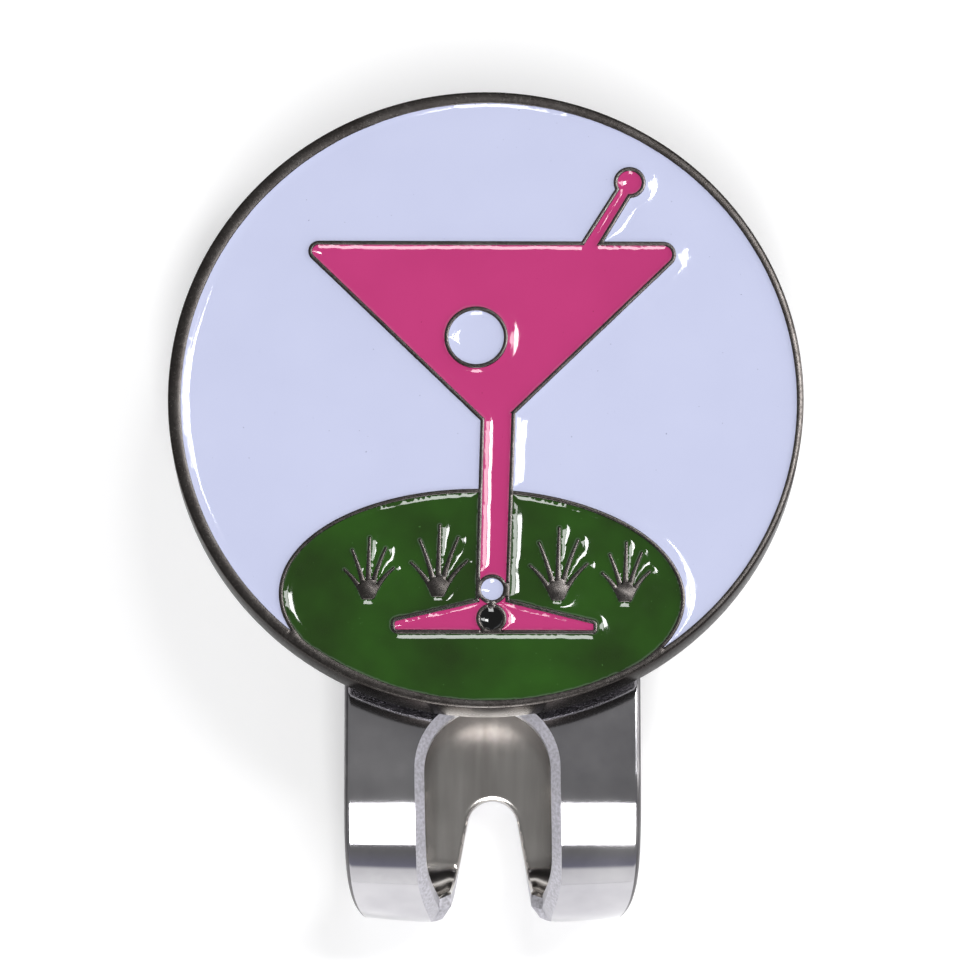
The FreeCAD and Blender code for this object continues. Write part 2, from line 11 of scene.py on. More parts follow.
import bpy
import numpy as np
from mathutils import Matrix, Vector, noise
from mathutils.geometry import delaunay_2d_cdt
from mathutils.kdtree import KDTree
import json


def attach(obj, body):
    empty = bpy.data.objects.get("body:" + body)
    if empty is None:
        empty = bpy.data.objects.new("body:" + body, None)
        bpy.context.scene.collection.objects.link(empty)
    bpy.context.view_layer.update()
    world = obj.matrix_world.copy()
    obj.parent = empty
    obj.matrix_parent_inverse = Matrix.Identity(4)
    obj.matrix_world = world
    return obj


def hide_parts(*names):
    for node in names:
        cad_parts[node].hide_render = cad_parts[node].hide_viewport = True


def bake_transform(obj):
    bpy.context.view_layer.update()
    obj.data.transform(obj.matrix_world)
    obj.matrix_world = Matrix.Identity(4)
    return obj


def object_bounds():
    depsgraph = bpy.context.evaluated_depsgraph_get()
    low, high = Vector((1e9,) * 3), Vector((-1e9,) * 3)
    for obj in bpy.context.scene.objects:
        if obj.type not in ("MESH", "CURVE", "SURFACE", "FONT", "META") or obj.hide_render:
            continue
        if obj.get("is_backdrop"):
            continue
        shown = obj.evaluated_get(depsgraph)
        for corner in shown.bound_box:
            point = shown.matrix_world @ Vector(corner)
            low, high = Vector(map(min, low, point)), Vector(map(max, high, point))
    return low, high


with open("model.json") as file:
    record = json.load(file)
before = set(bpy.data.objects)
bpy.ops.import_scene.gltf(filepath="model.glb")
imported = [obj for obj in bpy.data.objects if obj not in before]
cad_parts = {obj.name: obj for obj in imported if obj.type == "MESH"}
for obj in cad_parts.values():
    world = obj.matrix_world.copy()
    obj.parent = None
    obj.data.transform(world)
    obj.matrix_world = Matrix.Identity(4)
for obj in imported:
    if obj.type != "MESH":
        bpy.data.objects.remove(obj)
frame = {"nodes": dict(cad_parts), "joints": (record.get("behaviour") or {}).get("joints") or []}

cad_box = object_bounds()
MM = 0.001

# ---------------------------------------------------------------- sizes that the frame gives


def joint(name):
    """The record's joint of that name."""
    return next(j for j in frame["joints"] if j["name"] == name)


def unit(vector):
    """vector, or each row of it, at length 1."""
    vector = np.asarray(vector, float)
    return vector / np.linalg.norm(vector, axis=-1, keepdims=True)


def vertices(node):
    """A CAD node's vertices."""
    mesh = frame["nodes"][node].data
    values = np.empty(len(mesh.vertices) * 3)
    mesh.vertices.foreach_get("co", values)
    return values.reshape(-1, 3) / MM


def reach(node, direction):
    """How low and how high a CAD node comes along a direction."""
    heights = vertices(node) @ direction
    return heights.min(), heights.max()


def disc_of(node):
    """The middle (x, up the face) and the radius of a disc that faces out of the marker."""
    left, right = reach(node, ACROSS)
    low, high = reach(node, ALONG)
    return np.array(((left + right) / 2, (low + high) / 2)), (right - left) / 2


# Directions: across the object, straight out of the marker's face, and up that face.
ACROSS = np.array((1.0, 0.0, 0.0))
OUT = unit(joint("marker_lift")["axis"])
ALONG = np.cross(OUT, ACROSS)

# The marker's two sides along OUT, its face's middle and radius, and its cells' depth (negative).
BACK, FACE = reach("marker_blank", OUT)
MIDDLE, RADIUS = disc_of("marker_blank")
CELL_FLOOR = reach("enamel_background", OUT)[0] - FACE


def on_marker(points):
    """CAD-frame points, in metres, of marker coordinates."""
    u, v, w = np.asarray(points, float).T[:, :, None]
    return ((u + MIDDLE[0]) * ACROSS + (v + MIDDLE[1]) * ALONG + (w + FACE) * OUT) * MM


def from_marker(points):
    """Marker coordinates of CAD-frame points in millimetres."""
    flat = points @ np.stack((ACROSS, ALONG), axis=1) - MIDDLE
    return np.column_stack((flat, points @ OUT - FACE))


# ---------------------------------------------------------------- outlines and flat fills

# A turn over CORNER_TURN is a corner. A side LONG_SIDE times its neighbour's length is straight.
CORNER_TURN = math.radians(20)
LONG_SIDE = 3.0
TOP_MARGIN = 0.01
MERGE_DISTANCE = 1e-7


def outlines(node):
    """The closed outlines of an enamel fill's top face, each with the fill on its left."""
    points = from_marker(vertices(node))
    just_under_top = points[:, 2].max() - TOP_MARGIN
    spots = [tuple(spot) for spot in np.round(points[:, :2], 4)]
    sides = set()
    for face in frame["nodes"][node].data.polygons:
        if all(points[i, 2] > just_under_top for i in face.vertices):
            ring = [spots[i] for i in face.vertices]
            sides.update(zip(ring, ring[1:] + ring[:1]))
    after = {a: b for a, b in sorted(sides) if (b, a) not in sides}
    loops = []
    while after:
        spot = min(after)
        loop = []
        while spot in after:
            loop.append(spot)
            spot = after.pop(spot)
        loops.append(np.array(loop))
    return loops


def rounded(loop, spacing):
    """The loop with its short straight sides drawn as curves again, and its corners kept."""
    side = np.roll(loop, -1, axis=0) - loop
    length = np.linalg.norm(side, axis=1)
    way = unit(side)
    way_in = np.roll(way, 1, axis=0)
    length_in = np.roll(length, 1)
    is_corner = np.sum(way * way_in, axis=1) < math.cos(CORNER_TURN)
    tangent = unit(way + way_in)
    tangent = np.where((length > LONG_SIDE * length_in)[:, None], way, tangent)
    tangent = np.where((length_in > LONG_SIDE * length)[:, None], way_in, tangent)
    result = []
    for i, start in enumerate(loop):
        j = (i + 1) % len(loop)
        leave = (way[i] if is_corner[i] else tangent[i]) * length[i]
        arrive = (way[i] if is_corner[j] else tangent[j]) * length[i]
        count = max(1, round(length[i] / spacing))
        for t in np.arange(count) / count:
            result.append((2 * t**3 - 3 * t**2 + 1) * start + (t**3 - 2 * t**2 + t) * leave
                          + (3 * t**2 - 2 * t**3) * loop[j] + (t**3 - t**2) * arrive)
    return np.array(result)


def circle(radius, count, centre=(0.0, 0.0)):
    """A loop of count points, anticlockwise."""
    turn = np.arange(count) * 2 * math.pi / count
    return np.stack((np.cos(turn), np.sin(turn)), axis=1) * radius + centre


def left_of(loop):
    """At each point of a loop, the direction to its left."""
    way = unit(np.roll(loop, -1, axis=0) - np.roll(loop, 1, axis=0))
    return np.stack((-way[:, 1], way[:, 0]), axis=1)


def tree_of(points):
    """A search tree of flat points."""
    tree = KDTree(len(points))
    for i, (x, y) in enumerate(points):
        tree.insert((x, y, 0), i)
    tree.balance()
    return tree


class Fill:
    """Triangles that fill the space on the left of some loops, with finer ones along the loops.

    points start with the loops' own points, in order. gap is each point's distance from the loops,
    and owner the number of the loop that is nearest to it.
    """

    def __init__(self, loops, gaps=(), grid=None):
        self.loops = loops
        self.rim = np.concatenate(loops)
        self.inward = np.concatenate([left_of(loop) for loop in loops])
        inner = self.inner_points(gaps, grid)
        self.triangulate(np.array([spot for spot, _, _ in inner]).reshape(-1, 2))
        gap = np.array([0.0] * len(self.rim) + [g for _, g, _ in inner])
        rim_owner = np.repeat(np.arange(len(loops)), [len(loop) for loop in loops])
        owner = np.concatenate((rim_owner, rim_owner[[nearest for _, _, nearest in inner]]))
        self.gap = gap[self.kept]
        self.owner = owner[self.kept]

    def inner_points(self, gaps, grid):
        """Rows of points beside the loops, then a wide grid, where no other wall is nearer.

        Each is (point, its distance from the loops, the number of the nearest point on them).
        """
        tree = tree_of(self.rim)
        pitch = np.median(np.linalg.norm(np.diff(self.rim, axis=0), axis=1))
        found = []
        taken = {}

        def is_free(spot, room):
            cell = tuple(np.floor(spot / room).astype(int))
            near = [taken.get((room, cell[0] + i, cell[1] + j)) for i in (-1, 0, 1) for j in (-1, 0, 1)]
            if any(other is not None and math.dist(spot, other) < room for other in near):
                return False
            taken[(room, *cell)] = spot
            return True

        for gap in gaps:
            step = max(1, int(gap / (2 * pitch)))
            room = min(gap, pitch * step) * 0.5
            for start in range(0, len(self.rim), step):
                spot = self.rim[start] + self.inward[start] * gap
                no_wall_is_nearer = tree.find((*spot, 0))[2] > gap * 0.97
                if no_wall_is_nearer and is_free(spot, room):
                    found.append((spot, gap, start))
        if grid:
            low, high = self.rim.min(axis=0), self.rim.max(axis=0)
            clear = max(gaps, default=0) + grid * 0.6
            for row, y in enumerate(np.arange(low[1], high[1], grid * math.sqrt(0.75))):
                for x in np.arange(low[0] + grid * 0.5 * (row % 2), high[0], grid):
                    _, nearest, distance = tree.find((x, y, 0))
                    if distance > clear:
                        found.append((np.array((x, y)), distance, nearest))
        return found

    def triangulate(self, inner):
        """Fills the loops with triangles, and keeps the points that they use."""
        points = np.concatenate((self.rim, inner))
        walls = []
        for loop in self.loops:
            first = len(walls)
            count = len(loop)
            walls += [(first + i, first + (i + 1) % count) for i in range(count)]
        spots = [Vector(point) for point in points]
        _, _, faces, sources, _, _ = delaunay_2d_cdt(spots, walls, [], 0, MERGE_DISTANCE)
        source = [group[0] for group in sources]
        faces = [tuple(source[i] for i in face) for face in faces]
        owner = {}
        for number, (a, b, c) in enumerate(faces):
            owner[a, b] = owner[b, c] = owner[c, a] = number
        walls = set(walls)
        waiting = [owner[side] for side in walls if side in owner]
        inside = set()
        while waiting:
            number = waiting.pop()
            if number in inside:
                continue
            inside.add(number)
            a, b, c = faces[number]
            waiting += [owner[j, i] for i, j in ((a, b), (b, c), (c, a))
                        if (i, j) not in walls and (j, i) in owner]
        faces = np.array([faces[number] for number in sorted(inside)])
        used = np.union1d(np.arange(len(self.rim)), faces)
        renumber = np.zeros(len(points), int)
        renumber[used] = np.arange(len(used))
        self.kept = used
        self.points = points[used]
        self.faces = renumber[faces]


# ---------------------------------------------------------------- meshes


class Solid:
    """Points and faces gathered for one closed mesh."""

    def __init__(self):
        self.points = []
        self.faces = []
        self.count = 0

    def add(self, points):
        """Adds points, and gives the number of the first."""
        first = self.count
        self.points.append(np.asarray(points, float))
        self.count += len(points)
        return first

    def sheet(self, fill, heights, flip=False):
        """Adds a fill at the given heights."""
        first = self.add(np.column_stack((fill.points, heights)))
        order = (0, 2, 1) if flip else (0, 1, 2)
        self.faces += [tuple(first + face[i] for i in order) for face in fill.faces]
        return first

    def band(self, upper, lower, count):
        """Joins two rings of count points with quads that face right of their direction of travel."""
        for i in range(count):
            j = (i + 1) % count
            self.faces.append((upper + i, lower + i, lower + j, upper + j))

    def piece(self, name, place, material, sharp=40, flats=False):
        """Makes the object. place turns the gathered points into CAD-frame metres.

        Edges that turn over sharp degrees are shaded as sharp. With flats, the shading of a flat face
        runs right up to its rounded edges.
        """
        mesh = bpy.data.meshes.new(name)
        mesh.from_pydata(place(np.concatenate(self.points)).tolist(), [], self.faces)
        mesh.polygons.foreach_set("use_smooth", [True] * len(mesh.polygons))
        mesh.set_sharp_from_angle(angle=math.radians(sharp))
        mesh.materials.append(material)
        made = bpy.data.objects.new(name, mesh)
        bpy.context.scene.collection.objects.link(made)
        if flats:
            weigh = made.modifiers.new("flats_stay_flat", "WEIGHTED_NORMAL")
            weigh.keep_sharp = True
            weigh.weight = 100
        return made


def paint_faces(piece, material, numbers):
    """Gives some of a piece's faces another material."""
    index = len(piece.data.materials)
    piece.data.materials.append(material)
    for number in numbers:
        piece.data.polygons[number].material_index = index


def edge_round(radius, steps=4):
    """Gaps across a rounded edge, and how far the surface drops at any gap."""
    turns = np.linspace(0, math.pi / 2, steps + 1)[1:]
    gaps = radius * (1 - np.cos(turns))

    def drop(gap):
        short = np.clip(radius - np.asarray(gap), 0, radius)
        return radius - np.sqrt(radius**2 - short**2)

    return gaps, drop


def lathe(solid, profile, count):
    """Adds rings of a turned profile of (radius, height), where radius 0 closes it with a fan."""
    rings = []
    for radius, height in profile:
        if radius == 0:
            rings.append(solid.add([(0, 0, height)]))
        else:
            ring = circle(radius, count)
            rings.append(solid.add(np.column_stack((ring, np.full(count, height)))))
    for (r_up, _), (r_low, _), upper, lower in zip(profile, profile[1:], rings, rings[1:]):
        if r_up == 0:
            solid.faces += [(upper, lower + i, lower + (i + 1) % count) for i in range(count)]
        elif r_low == 0:
            solid.faces += [(upper + (i + 1) % count, upper + i, lower) for i in range(count)]
        else:
            solid.band(upper, lower, count)
    return rings


# ---------------------------------------------------------------- materials


def node(tree, kind, settings=None, **inputs):
    """Adds a shader node. Inputs are numbers or other nodes' sockets, with _ for a space."""
    made = tree.nodes.new("ShaderNode" + kind)
    for key, value in (settings or {}).items():
        setattr(made, key, value)
    for key, value in inputs.items():
        socket = made.inputs[key.replace("_", " ")]
        if isinstance(value, bpy.types.NodeSocket):
            tree.links.new(value, socket)
        else:
            socket.default_value = value
    return made


def ramp(tree, value, *stops):
    """Colours or greys along a value."""
    made = node(tree, "ValToRGB", Fac=value)
    elements = made.color_ramp.elements
    while len(elements) < len(stops):
        elements.new(1.0)
    for element, (position, shade) in zip(elements, stops):
        element.position = position
        element.color = (*shade, 1) if isinstance(shade, tuple) else (shade, shade, shade, 1)
    return made.outputs["Color"]


def grain(tree, place, size, detail=3, stretch=(1, 1, 1)):
    """Noise whose grains are about size millimetres, longer where stretch is over 1."""
    scale = tuple(1 / (MM * size * longer) for longer in stretch)
    moved = node(tree, "Mapping", Vector=place, Scale=scale).outputs["Vector"]
    return node(tree, "TexNoise", Vector=moved, Scale=1.0, Detail=detail).outputs["Fac"]


def mixed(tree, amount, first, second):
    """From the first colour at amount 0 to the second at 1."""
    return node(tree, "MixRGB", Fac=amount, Color1=first, Color2=second).outputs["Color"]


def bumped(tree, layers):
    """One bump over another. layers are (height socket, height in millimetres)."""
    normal = None
    for height, amount in layers:
        inputs = {"Height": height, "Strength": 1.0, "Distance": amount * MM}
        if normal is not None:
            inputs["Normal"] = normal
        normal = node(tree, "Bump", **inputs).outputs["Normal"]
    return normal


def start_material(name, **shader_inputs):
    """A new material, with its node tree, its shader and coordinates that stay with the piece."""
    material = bpy.data.materials.new(name)
    material.use_nodes = True
    tree = material.node_tree
    shader = tree.nodes["Principled BSDF"]
    for key, value in shader_inputs.items():
        shader.inputs[key.replace("_", " ")].default_value = value
    place = node(tree, "TexCoord").outputs["Object"]
    return material, tree, shader, place


def finish_material(tree, shader, color, roughness, normal):
    """Links what varies over the surface."""
    tree.links.new(color, shader.inputs["Base Color"])
    tree.links.new(roughness, shader.inputs["Roughness"])
    tree.links.new(normal, shader.inputs["Normal"])


def strip_nickel():
    """Bright nickel over a rolled strip, with tumbling marks."""
    material, tree, shader, place = start_material("strip_nickel", Metallic=1.0)
    cloudy = grain(tree, place, 3.0, 4)
    rolling = grain(tree, place, 0.10, 2, stretch=(1, 30, 30))
    ripples = grain(tree, place, 1.2, 2)
    pits = grain(tree, place, 0.15, 3)
    color = ramp(tree, cloudy, (0.3, (0.47, 0.46, 0.49)), (0.7, (0.64, 0.63, 0.65)))
    roughness = ramp(tree, cloudy, (0.35, 0.07), (0.75, 0.12))
    normal = bumped(tree, [(ripples, 0.0012), (rolling, 0.0001), (pits, 0.0001)])
    finish_material(tree, shader, color, roughness, normal)
    return material


def sheared_nickel():
    """Nickel over the slot's rolled edge, which the punch left rough."""
    material, tree, shader, place = start_material("sheared_nickel", Metallic=1.0)
    torn = grain(tree, place, 0.12, 4)
    color = ramp(tree, torn, (0.35, (0.40, 0.39, 0.42)), (0.65, (0.59, 0.58, 0.63)))
    roughness = ramp(tree, torn, (0.3, 0.28), (0.75, 0.5))
    normal = bumped(tree, [(torn, 0.006)])
    finish_material(tree, shader, color, roughness, normal)
    return material


def inside_nickel():
    """Thin nickel on the faces inside the bend, which the tumbling hardly reached."""
    material, tree, shader, place = start_material("inside_nickel", Metallic=1.0)
    cloudy = grain(tree, place, 3.0, 4)
    streaks = grain(tree, place, 0.5, 4, stretch=(1, 12, 12))
    color = ramp(tree, streaks, (0.3, (0.50, 0.475, 0.45)), (0.7, (0.62, 0.595, 0.57)))
    roughness = ramp(tree, cloudy, (0.35, 0.13), (0.75, 0.18))
    normal = bumped(tree, [(streaks, 0.0003)])
    finish_material(tree, shader, color, roughness, normal)
    return material


def dull_nickel_painted_dark():
    """Dull nickel, painted dark as painted shade, on the strip's sheared outer edge and on the plate's
    underside.
    """
    material, tree, shader, place = start_material("dull_nickel_painted_dark", Metallic=1.0)
    cloudy = grain(tree, place, 1.5, 4)
    torn = grain(tree, place, 0.12, 4)
    # This dark colour is painted shade; the rough finish is the sheared metal's own.
    color = ramp(tree, cloudy, (0.3, (0.15, 0.145, 0.15)), (0.7, (0.20, 0.195, 0.20)))
    roughness = ramp(tree, torn, (0.3, 0.32), (0.75, 0.42))
    normal = bumped(tree, [(torn, 0.002)])
    finish_material(tree, shader, color, roughness, normal)
    return material


def blank_nickel_with_painted_shade():
    """Nickel painted dark on the blank's face and edge as painted shade for the dim room that they
    mirror, and bright on its back.
    """
    dim_at_grazing = (0.35, 0.35, 0.35, 1)
    material, tree, shader, place = start_material(
        "blank_nickel_with_painted_shade", Metallic=1.0, Specular_Tint=dim_at_grazing)
    cloudy = grain(tree, place, 1.2, 4)
    pits = grain(tree, place, 0.12, 3)
    # dark is painted shade over the face and edge; bright is the nickel's own colour, kept on the back.
    dark = ramp(tree, cloudy, (0.3, (0.062, 0.055, 0.052)), (0.7, (0.10, 0.092, 0.088)))
    bright = ramp(tree, cloudy, (0.3, (0.50, 0.49, 0.50)), (0.7, (0.58, 0.57, 0.58)))
    height = node(tree, "VectorMath", {"operation": "DOT_PRODUCT"})
    tree.links.new(place, height.inputs[0])
    height.inputs[1].default_value = OUT
    dark_from, dark_to = (BACK + 0.05) * MM, (BACK + 0.10) * MM
    is_back = node(tree, "MapRange", Value=height.outputs["Value"], From_Min=dark_from, From_Max=dark_to,
                   To_Min=1.0, To_Max=0.0).outputs["Result"]
    color = mixed(tree, is_back, dark, bright)
    roughness = ramp(tree, pits, (0.35, 0.2), (0.75, 0.3))
    normal = bumped(tree, [(pits, 0.0003)])
    finish_material(tree, shader, color, roughness, normal)
    return material


def magnet_nickel():
    """Bright plate of the magnet."""
    material, tree, shader, place = start_material("magnet_nickel", Metallic=1.0)
    cloudy = grain(tree, place, 1.5, 3)
    scuffs = grain(tree, place, 0.2, 5)
    color = ramp(tree, cloudy, (0.3, (0.64, 0.63, 0.62)), (0.7, (0.72, 0.72, 0.73)))
    roughness = ramp(tree, scuffs, (0.4, 0.06), (0.75, 0.2))
    normal = bumped(tree, [(scuffs, 0.0008)])
    finish_material(tree, shader, color, roughness, normal)
    return material


def cured_adhesive():
    """The clear adhesive under the magnet, a little amber."""
    material, tree, shader, place = start_material("cured_adhesive", IOR=1.5)
    cloudy = grain(tree, place, 0.6, 4)
    color = ramp(tree, cloudy, (0.3, (0.62, 0.56, 0.40)), (0.7, (0.78, 0.74, 0.62)))
    roughness = ramp(tree, cloudy, (0.3, 0.12), (0.8, 0.3))
    normal = bumped(tree, [(cloudy, 0.003)])
    finish_material(tree, shader, color, roughness, normal)
    return material


def enamel(name, light, dark, speck, speck_level):
    """Gloss enamel with soft shifts of shade, and specks where a fine noise passes speck_level."""
    material, tree, shader, place = start_material(name, IOR=1.58)
    cloudy = grain(tree, place, 3.5, 3)
    orange_peel = grain(tree, place, 0.35, 3)
    color = ramp(tree, cloudy, (0.3, dark), (0.7, light))
    specks = grain(tree, place, 0.11, 1)
    is_speck = ramp(tree, specks, (speck_level, 0.0), (speck_level + 0.03, 1.0))
    color = mixed(tree, is_speck, color, (*speck, 1))
    roughness = ramp(tree, orange_peel, (0.3, 0.03), (0.8, 0.09))
    normal = bumped(tree, [(orange_peel, 0.0004)])
    finish_material(tree, shader, color, roughness, normal)
    return material


# ---------------------------------------------------------------- the enamel cells

# The enamel meets its walls at CONTACT, and falls from there by two slopes of (drop, reach).
CONTACT = -0.035
STEEP = (0.09, 0.10)
GENTLE = (0.055, 0.36)
STEEP_UNEVEN = 0.35
WAVE_HEIGHT = 0.004
# The mesh's pitch along the walls, its rows of points beside them, and its pitch further out.
POINT_PITCH = 0.06
FILL_GAPS = (0.015, 0.04, 0.08, 0.13, 0.2, 0.3, 0.42, 0.6)
FILL_GRID = 0.3
LEAST_AREA = 1e-9
MOST_STEPS = 600
SMALL_ENOUGH = 1e-14


def clinging(fill, edge_heights, creep):
    """Heights of liquid that clings to its edge and falls to 0 within about creep of it.

    They solve h = creep^2 * laplacian(h) on the fill's triangles, by conjugate gradients.
    """
    corner = fill.points[fill.faces]
    opposite = np.roll(corner, -2, axis=1) - np.roll(corner, -1, axis=1)
    area = np.abs(np.cross(opposite[:, 0], opposite[:, 1])) / 2 + LEAST_AREA
    count = len(fill.points)
    share = np.bincount(fill.faces.ravel(), np.repeat(area / 3, 3), count)
    rows, columns, weights = [], [], []
    for i in range(3):
        for j in range(3):
            rows.append(fill.faces[:, i])
            columns.append(fill.faces[:, j])
            weights.append(np.sum(opposite[:, i] * opposite[:, j], axis=1) / (4 * area))
    rows, columns = np.concatenate(rows), np.concatenate(columns)
    weights = np.concatenate(weights) * creep**2

    def pull(heights):
        return share * heights + np.bincount(rows, weights * heights[columns], count)

    edge = len(edge_heights)
    heights = np.zeros(count)
    heights[:edge] = edge_heights
    diagonal = share + np.bincount(rows, weights * (rows == columns), count)
    rest = -pull(heights)
    rest[:edge] = 0
    move = rest / diagonal
    size = rest @ move
    for _ in range(MOST_STEPS):
        pulled = pull(move)
        pulled[:edge] = 0
        step = size / (move @ pulled)
        heights += step * move
        rest -= step * pulled
        eased = rest / diagonal
        new_size = rest @ eased
        if new_size < SMALL_ENOUGH:
            break
        move = eased + move * new_size / size
        size = new_size
    return heights


def unevenness(points, *sizes):
    """Noise at flat points, its grains of the given sizes laid over each other, from about -1 to 1."""
    return np.array([sum(noise.noise((x / size, y / size, size)) for size in sizes) for x, y in points])


def pool(fill):
    """Heights of the enamel in a cell: steep where it meets the metal, then a long gentle fall."""
    uneven = unevenness(fill.rim, 0.5, 0.12)
    steep_drop, steep_creep = STEEP
    gentle_drop, gentle_creep = GENTLE
    steep = clinging(fill, steep_drop * (1 - STEEP_UNEVEN * np.clip(uneven + 0.3, 0, 2)), steep_creep)
    gentle = clinging(fill, np.full(len(fill.rim), gentle_drop), gentle_creep)
    waves = WAVE_HEIGHT * unevenness(fill.points, 2.3, 1.1) * np.clip(fill.gap / FILL_GAPS[-1], 0, 1)
    return CONTACT - steep_drop - gentle_drop + steep + gentle + waves


def enamel_fill(node_name, material, slot):
    """One cell's enamel: a pool that climbs its walls."""
    loops = cells[node_name]
    fill = Fill(loops, FILL_GAPS, FILL_GRID)
    under = Fill(loops)
    solid = Solid()
    top = solid.sheet(fill, pool(fill))
    bottom = solid.sheet(under, np.full(len(under.points), CELL_FLOOR), flip=True)
    start = 0
    for loop in loops:
        solid.band(top + start, bottom + start, len(loop))
        start += len(loop)
    made = solid.piece(node_name.replace("enamel", "fill"), on_marker, material)
    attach(made, "marker")
    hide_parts(node_name)


ENAMELS = {
    "enamel_background": "white_enamel",
    "enamel_green": "green_enamel",
    "enamel_glass": "pink_enamel",
    "enamel_foot_left": "pink_enamel",
    "enamel_foot_right": "pink_enamel",
    "enamel_olive": "white_enamel",
    "enamel_ball_white": "white_enamel",
    "enamel_ball_black": "black_enamel",
}
# Each colour's light and dark shades, the colour of its specks, and their level.
ENAMEL_SHADES = {
    "white_enamel": ((0.56, 0.59, 0.785), (0.54, 0.57, 0.765), (0.20, 0.22, 0.36), 0.80),
    "green_enamel": ((0.0195, 0.082, 0.0045), (0.011, 0.034, 0.002), (0.05, 0.14, 0.03), 0.78),
    "pink_enamel": ((0.52, 0.040, 0.186), (0.485, 0.035, 0.170), (0.30, 0.02, 0.08), 0.80),
    "black_enamel": ((0.002, 0.002, 0.002), (0.001, 0.001, 0.001), (0.01, 0.01, 0.01), 0.80),
}
looks = {name: enamel(name, *shades) for name, shades in ENAMEL_SHADES.items()}
cells = {name: [rounded(loop, POINT_PITCH) for loop in outlines(name)] for name in ENAMELS}
for name, look in ENAMELS.items():
    enamel_fill(name, looks[look], look)

# ---------------------------------------------------------------- the marker's blank

LINE_ROUND = 0.022
RIM_ROUND = 0.06
RIM_COUNT = 720
ROUND_STEPS = 6


def marker_blank():
    """The struck disc: raised lines and rim, the cells sunk between them, its edge and its back."""
    gaps, drop = edge_round(LINE_ROUND)
    rim_loop = circle(RADIUS - RIM_ROUND, RIM_COUNT)
    walls = [loop[::-1] for loops in cells.values() for loop in loops]
    top = Fill([rim_loop, *walls], gaps, None)
    heights = -drop(top.gap)
    heights[:RIM_COUNT] = 0
    solid = Solid()
    first = solid.sheet(top, heights)
    start = RIM_COUNT
    for loops in cells.values():
        cell_floor = Fill(loops)
        ground = solid.sheet(cell_floor, np.full(len(cell_floor.points), CELL_FLOOR))
        place = 0
        for loop in loops:
            count = len(loop)
            upper = [first + start + count - 1 - i for i in range(count)]
            lower = [ground + place + i for i in range(count)]
            for i in range(count):
                j = (i + 1) % count
                solid.faces.append((upper[j], lower[j], lower[i], upper[i]))
            start += count
            place += count
    depth = BACK - FACE
    flat_radius = RADIUS - RIM_ROUND
    turns = np.linspace(0, math.pi / 2, ROUND_STEPS + 1)[1:]
    edge = [(flat_radius + RIM_ROUND * math.sin(t), RIM_ROUND * (math.cos(t) - 1)) for t in turns]
    edge += [(radius, depth - height) for radius, height in reversed(edge)]
    edge += [(radius, depth) for radius in (flat_radius, RADIUS * 0.8, RADIUS * 0.5, RADIUS * 0.2, 0)]
    rings = lathe(solid, edge, RIM_COUNT)
    solid.band(first, rings[0], RIM_COUNT)
    made = solid.piece("struck_blank", on_marker, blank_nickel_with_painted_shade(), flats=True)
    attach(made, "marker")
    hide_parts("marker_blank")


marker_blank()

# ---------------------------------------------------------------- the magnet and its adhesive

DISC_COUNT = 180


def rippled(ring, depth):
    """A ring's flat points drawn in by up to depth of their radius, in uneven waves."""
    around = np.arctan2(ring[:, 1], ring[:, 0])
    waves = [noise.noise((math.cos(turn) * 2.5, math.sin(turn) * 2.5, 3.0)) for turn in around]
    return ring[:, :2] * (1 - depth * (0.5 + 0.5 * np.array(waves)))[:, None]


def turned_disc(node_name, name, edge_radius, material, ripple=0.0):
    """A disc of a CAD node's size with rounded edges, its outline rippled inward."""
    low, high = reach(node_name, OUT)
    middle, radius = disc_of(node_name)
    top, bottom = high - FACE, low - FACE
    turns = np.linspace(0, math.pi / 2, ROUND_STEPS + 1)
    upper = [(radius - edge_radius * (1 - math.sin(t)), top - edge_radius * (1 - math.cos(t)))
             for t in turns]
    lower = [(r, bottom + top - height) for r, height in reversed(upper)]
    above = [(radius * share, top) for share in (0, 0.4, 0.7)]
    below = [(radius * share, bottom) for share in (0.7, 0.4, 0)]
    solid = Solid()
    lathe(solid, above + upper + lower + below, DISC_COUNT)
    for ring in solid.points:
        if ripple:
            ring[:, :2] = rippled(ring, ripple)
        ring[:, :2] += middle - MIDDLE
    made = solid.piece(name, on_marker, material)
    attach(made, "front_plate")
    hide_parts(node_name)


turned_disc("magnet", "disc_magnet", 0.15, magnet_nickel())
turned_disc("magnet_adhesive", "adhesive_film", 0.04, cured_adhesive(), ripple=0.05)

# ---------------------------------------------------------------- the clip's strip

# The strip's thickness, the rounding of its edges, and that of its tips' corners.
THICK = 1.0
EDGE_ROUND = 0.15
EDGE_STEPS = 3
TIP_ROUND = 5.5
# How much wider than the magnet its seat is.
SEAT_ROOM = 0.1
# The slot's rolled edge, and how far the slot lies to the left.
ROLLED_WIDTH = 0.38
ROLLED_SLOPE = 1.0
SLOT_LEFT = 0.2
# In the bend, how far the outer edges are drawn in, and how far they and the slot's edges fall.
EDGE_DRAW = 0.66
EDGE_FALL = 0.28
SLOT_FALL = 0.32
SLOT_FALL_WIDTH = 1.1
# The mesh's rows of points beside the edges, past their rounding, and its pitch further in.
FLAT_ROWS = (0.25, ROLLED_WIDTH, 0.5)
STRIP_GRID = 0.35
SEAT_GRID = 0.8
ROW_MARGIN = 0.01

